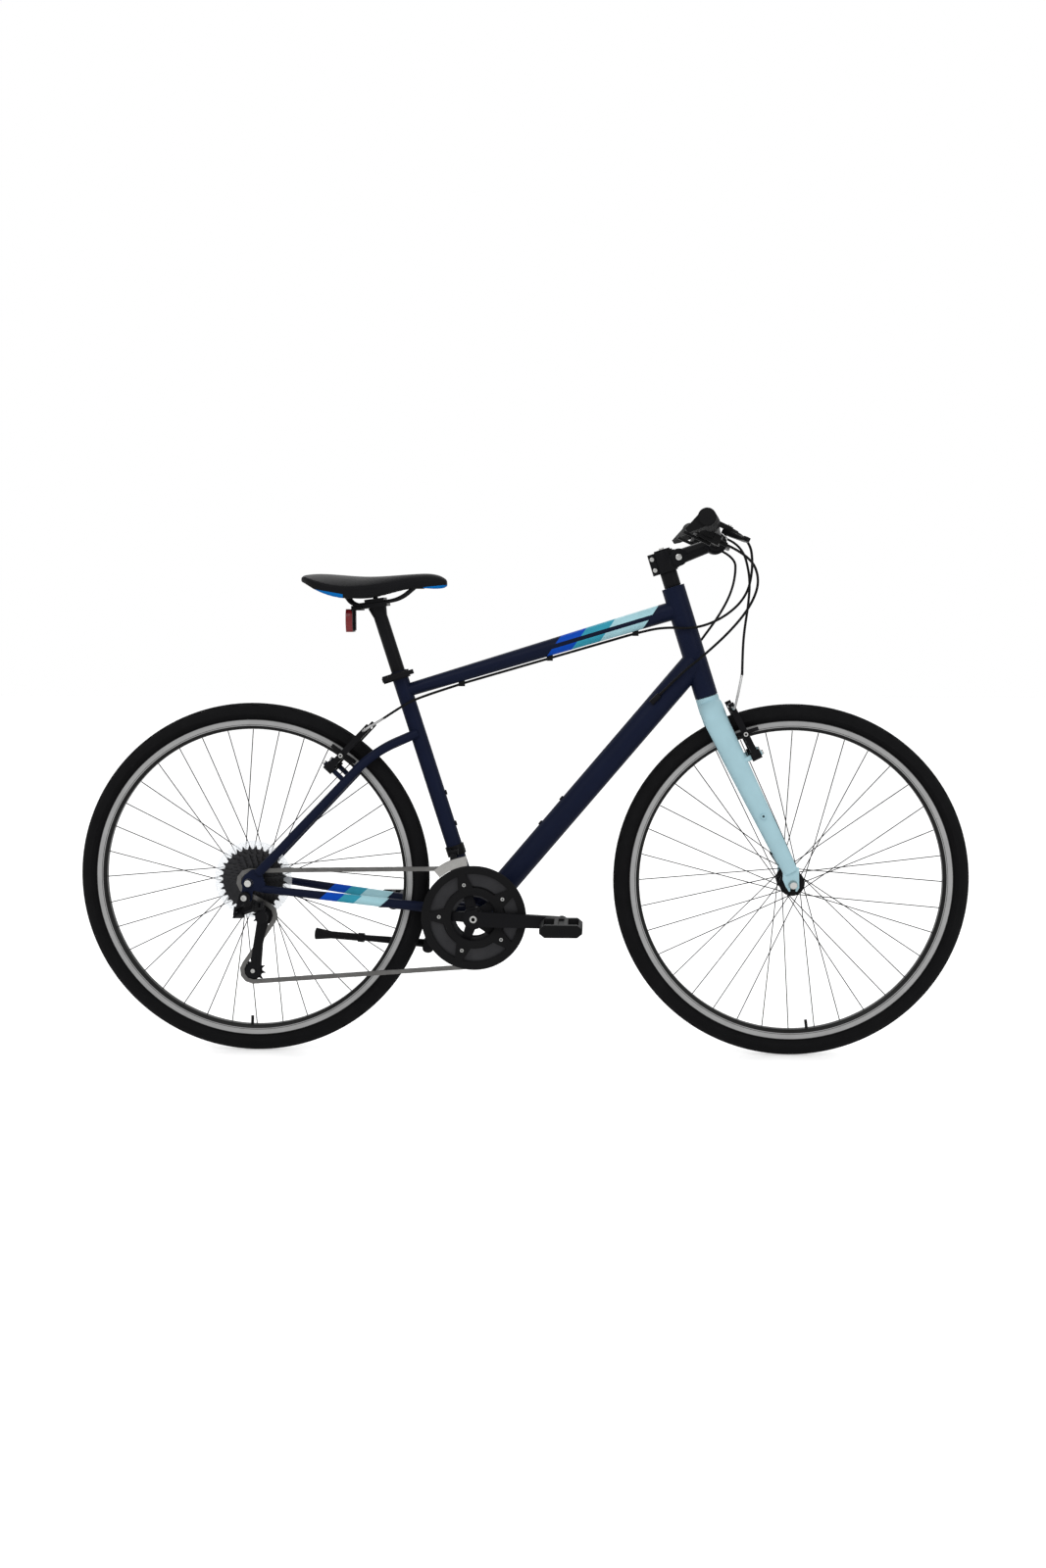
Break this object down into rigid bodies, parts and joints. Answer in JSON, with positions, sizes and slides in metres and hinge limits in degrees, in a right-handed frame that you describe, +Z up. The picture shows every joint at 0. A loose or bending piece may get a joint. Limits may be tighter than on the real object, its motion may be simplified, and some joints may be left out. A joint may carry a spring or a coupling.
{
  "type": "hybrid bicycle",
  "caption": "Flat-bar hybrid bicycle with a diamond frame, rim brakes, derailleur gears, chain guard and kickstand.",
  "frame": {"origin": "on the ground midway between the wheel axles, in the middle plane", "axes": "+X forward, +Y to the rider's left, +Z up"},
  "size_m": [1.7598, 0.6356, 1.0626],
  "materials": {
    "frame_paint": "matte dark navy paint on aluminium",
    "fork_paint": "satin pale aqua paint on aluminium",
    "black_metal": "satin black anodised",
    "steel": "plain steel",
    "rim_metal": "black with a bare braking track",
    "tyre": "matte black",
    "rubber": "matte black",
    "black_plastic": "satin black",
    "saddle_cover": "grained black cover",
    "reflector": "dark red lens",
    "clear_plastic": "clear"
  },
  "bodies": {
    "frame": {"head_tube": "frame_paint", "top_tube": "frame_paint", "down_tube": "frame_paint", "seat_tube": "frame_paint", "chainstays": "frame_paint", "seatstays": "frame_paint", "bearing_cups": "steel", "frame_fittings": "black_metal", "control_cables": "black_plastic", "chain": "steel", "rear_axle": "steel", "rear_derailleur_mount": "black_metal"},
    "steering": {"fork": "fork_paint", "stem": "black_metal", "handlebar": "black_metal", "grips": "rubber", "controls": "black_plastic", "front_axle": "steel", "front_brake_cable": "black_plastic"},
    "front_wheel": {"front_tyre": "tyre", "front_inner_tube": "rubber", "front_rim": "rim_metal", "front_spokes": "steel", "front_hub": "black_metal"},
    "rear_wheel": {"rear_tyre": "tyre", "rear_inner_tube": "rubber", "rear_rim": "rim_metal", "rear_spokes": "steel", "rear_hub": "black_metal", "spoke_protector": "clear_plastic"},
    "cassette": {"cassette": "steel"},
    "crank": {"chainrings": "steel", "chain_guard": "black_plastic", "crank_right": "black_metal", "crank_left": "black_metal"},
    "seat": {"seatpost": "black_metal", "saddle": "saddle_cover", "saddle_rails": "black_metal", "rear_reflector": "reflector"},
    "pedal_left": {"pedal_left": "black_plastic"},
    "pedal_right": {"pedal_right": "black_plastic"},
    "brake_lever_left": {"brake_lever_left": "black_metal"},
    "brake_lever_right": {"brake_lever_right": "black_metal"},
    "front_brake_arm_left": {"front_brake_arm_left": "black_metal"},
    "front_brake_arm_right": {"front_brake_arm_right": "black_metal"},
    "rear_brake_arm_left": {"rear_brake_arm_left": "black_metal"},
    "rear_brake_arm_right": {"rear_brake_arm_right": "black_metal"},
    "rear_derailleur_link": {"rear_derailleur_link": "black_metal"},
    "rear_derailleur_knuckle": {"rear_derailleur_knuckle": "black_metal"},
    "rear_derailleur_cage": {"rear_derailleur_cage": "black_metal"},
    "guide_pulley": {"guide_pulley": "black_plastic"},
    "tension_pulley": {"tension_pulley": "black_plastic"},
    "front_derailleur_link": {"front_derailleur_link": "black_metal"},
    "front_derailleur_cage": {"front_derailleur_cage": "steel"},
    "kickstand_leg": {"kickstand_leg": "black_metal"},
    "seat_clamp_lever": {"seat_clamp_lever": "black_metal"},
    "front_skewer_lever": {"front_skewer_lever": "black_metal"},
    "rear_skewer_lever": {"rear_skewer_lever": "black_metal"},
    "shift_trigger_left": {"shift_trigger_left": "black_plastic"},
    "shift_trigger_right": {"shift_trigger_right": "black_plastic"}
  },
  "joints": [
    {"name": "steering_turn", "type": "hinge", "parent": "frame", "child": "steering", "pos_m": [0.36283, 0, 0.71277], "axis": [-0.3007, 0, 0.9537], "range_deg": [-60, 60], "deforming": ["control_cables"]},
    {"name": "front_wheel_spin", "type": "hinge", "parent": "steering", "child": "front_wheel", "pos_m": [0.531, 0, 0.349], "axis": [0, 1, 0], "continuous": true},
    {"name": "rear_wheel_spin", "type": "hinge", "parent": "frame", "child": "rear_wheel", "pos_m": [-0.531, 0, 0.349], "axis": [0, 1, 0], "continuous": true},
    {"name": "crank_spin", "type": "hinge", "parent": "frame", "child": "crank", "pos_m": [-0.09021, 0, 0.281], "axis": [0, 1, 0], "continuous": true, "deforming": ["chain"]},
    {"name": "cassette_spin", "type": "hinge", "parent": "frame", "child": "cassette", "pos_m": [-0.531, 0, 0.349], "axis": [0, 1, 0], "continuous": true},
    {"name": "pedal_left_spin", "type": "hinge", "parent": "crank", "child": "pedal_left", "pos_m": [-0.26261, 0.12, 0.28702], "axis": [0, 1, 0], "continuous": true},
    {"name": "pedal_right_spin", "type": "hinge", "parent": "crank", "child": "pedal_right", "pos_m": [0.08218, -0.12, 0.27498], "axis": [0, 1, 0], "continuous": true},
    {"name": "front_brake_left", "type": "hinge", "parent": "steering", "child": "front_brake_arm_left", "pos_m": [0.45686, 0.044, 0.60092], "axis": [0.8939, 0, 0.4482], "range_deg": [0, 1.96], "stiffness_Nm_per_rad": 4},
    {"name": "front_brake_right", "type": "hinge", "parent": "steering", "child": "front_brake_arm_right", "pos_m": [0.45686, -0.044, 0.60092], "axis": [-0.8939, 0, -0.4482], "range_deg": [0, 1.96]},
    {"name": "rear_brake_left", "type": "hinge", "parent": "frame", "child": "rear_brake_arm_left", "pos_m": [-0.37287, 0.044, 0.57399], "axis": [0.7244, 0, -0.6894], "range_deg": [0, 2.6], "stiffness_Nm_per_rad": 4},
    {"name": "rear_brake_right", "type": "hinge", "parent": "frame", "child": "rear_brake_arm_right", "pos_m": [-0.37287, -0.044, 0.57399], "axis": [-0.7244, 0, 0.6894], "range_deg": [0, 2.6]},
    {"name": "brake_lever_left_pull", "type": "hinge", "parent": "steering", "child": "brake_lever_left", "pos_m": [0.38912, 0.165, 1.02675], "axis": [0.4226, 0.0131, 0.9062], "range_deg": [0, 22]},
    {"name": "brake_lever_right_pull", "type": "hinge", "parent": "steering", "child": "brake_lever_right", "pos_m": [0.38912, -0.165, 1.02675], "axis": [-0.4226, 0.0131, -0.9062], "range_deg": [0, 22]},
    {"name": "shift_trigger_left_push", "type": "hinge", "parent": "steering", "child": "shift_trigger_left", "pos_m": [0.35303, 0.13139, 1.00654], "axis": [0.4226, 0.0131, 0.9062], "range_deg": [0, 25], "stiffness_Nm_per_rad": 0.5},
    {"name": "shift_trigger_right_push", "type": "hinge", "parent": "steering", "child": "shift_trigger_right", "pos_m": [0.35303, -0.13139, 1.00654], "axis": [-0.4226, 0.0131, -0.9062], "range_deg": [0, 25], "stiffness_Nm_per_rad": 0.5},
    {"name": "rear_shift", "type": "hinge", "parent": "frame", "child": "rear_derailleur_link", "pos_m": [-0.54774, -0.06754, 0.28919], "axis": [0, 0.6428, 0.766], "range_deg": [0, 65], "stiffness_Nm_per_rad": 1},
    {"name": "rear_shift_level", "type": "hinge", "parent": "rear_derailleur_link", "child": "rear_derailleur_knuckle", "pos_m": [-0.514, -0.084, 0.303], "axis": [0, 0.6428, 0.766], "range_deg": [-65, 0]},
    {"name": "cage_swing", "type": "hinge", "parent": "rear_derailleur_knuckle", "child": "rear_derailleur_cage", "pos_m": [-0.504, -0.058, 0.283], "axis": [0, 1, 0], "range_deg": [-35, 30], "stiffness_Nm_per_rad": 1.5},
    {"name": "guide_pulley_spin", "type": "hinge", "parent": "rear_derailleur_cage", "child": "guide_pulley", "pos_m": [-0.504, -0.058, 0.283], "axis": [0, 1, 0], "continuous": true},
    {"name": "tension_pulley_spin", "type": "hinge", "parent": "rear_derailleur_cage", "child": "tension_pulley", "pos_m": [-0.52692, -0.058, 0.17235], "axis": [0, 1, 0], "continuous": true},
    {"name": "front_shift", "type": "hinge", "parent": "frame", "child": "front_derailleur_link", "pos_m": [-0.13203, -0.034, 0.40622], "axis": [1, 0, 0], "range_deg": [0, 37.4], "stiffness_Nm_per_rad": 1},
    {"name": "front_shift_level", "type": "hinge", "parent": "front_derailleur_link", "child": "front_derailleur_cage", "pos_m": [-0.13203, -0.04201, 0.38254], "axis": [1, 0, 0], "range_deg": [-37.4, 0]},
    {"name": "kickstand_swing", "type": "hinge", "parent": "frame", "child": "kickstand_leg", "pos_m": [-0.18821, 0.031, 0.212], "axis": [0, -0.8924, -0.4512], "range_deg": [0, 95]},
    {"name": "seat_height", "type": "slide", "parent": "frame", "child": "seat", "axis": [-0.3024, 0, 0.9532], "range_m": [-0.06, 0.06]},
    {"name": "seat_clamp_open", "type": "hinge", "parent": "frame", "child": "seat_clamp_lever", "pos_m": [-0.26442, -0.027, 0.74452], "axis": [0.3024, 0, -0.9532], "range_deg": [0, 150]},
    {"name": "front_skewer_open", "type": "hinge", "parent": "steering", "child": "front_skewer_lever", "pos_m": [0.531, 0.069, 0.349], "axis": [-0.8351, 0, -0.5501], "range_deg": [0, 150]},
    {"name": "rear_skewer_open", "type": "hinge", "parent": "frame", "child": "rear_skewer_lever", "pos_m": [-0.531, 0.0865, 0.349], "axis": [-0.28, 0, -0.96], "range_deg": [0, 150]}
  ],
  "couplings": [
    {"joint": "cassette_spin", "follows": "crank_spin", "ratio": 4.3636},
    {"joint": "tension_pulley_spin", "follows": "crank_spin", "ratio": 4.3636},
    {"joint": "guide_pulley_spin", "follows": "crank_spin", "ratio": -4.3636},
    {"joint": "front_brake_right", "follows": "front_brake_left", "ratio": 1},
    {"joint": "brake_lever_left_pull", "follows": "front_brake_left", "ratio": 11.224},
    {"joint": "rear_brake_right", "follows": "rear_brake_left", "ratio": 1},
    {"joint": "brake_lever_right_pull", "follows": "rear_brake_left", "ratio": 8.4615},
    {"joint": "rear_shift_level", "follows": "rear_shift", "ratio": -1},
    {"joint": "front_shift_level", "follows": "front_shift", "ratio": -1}
  ]
}
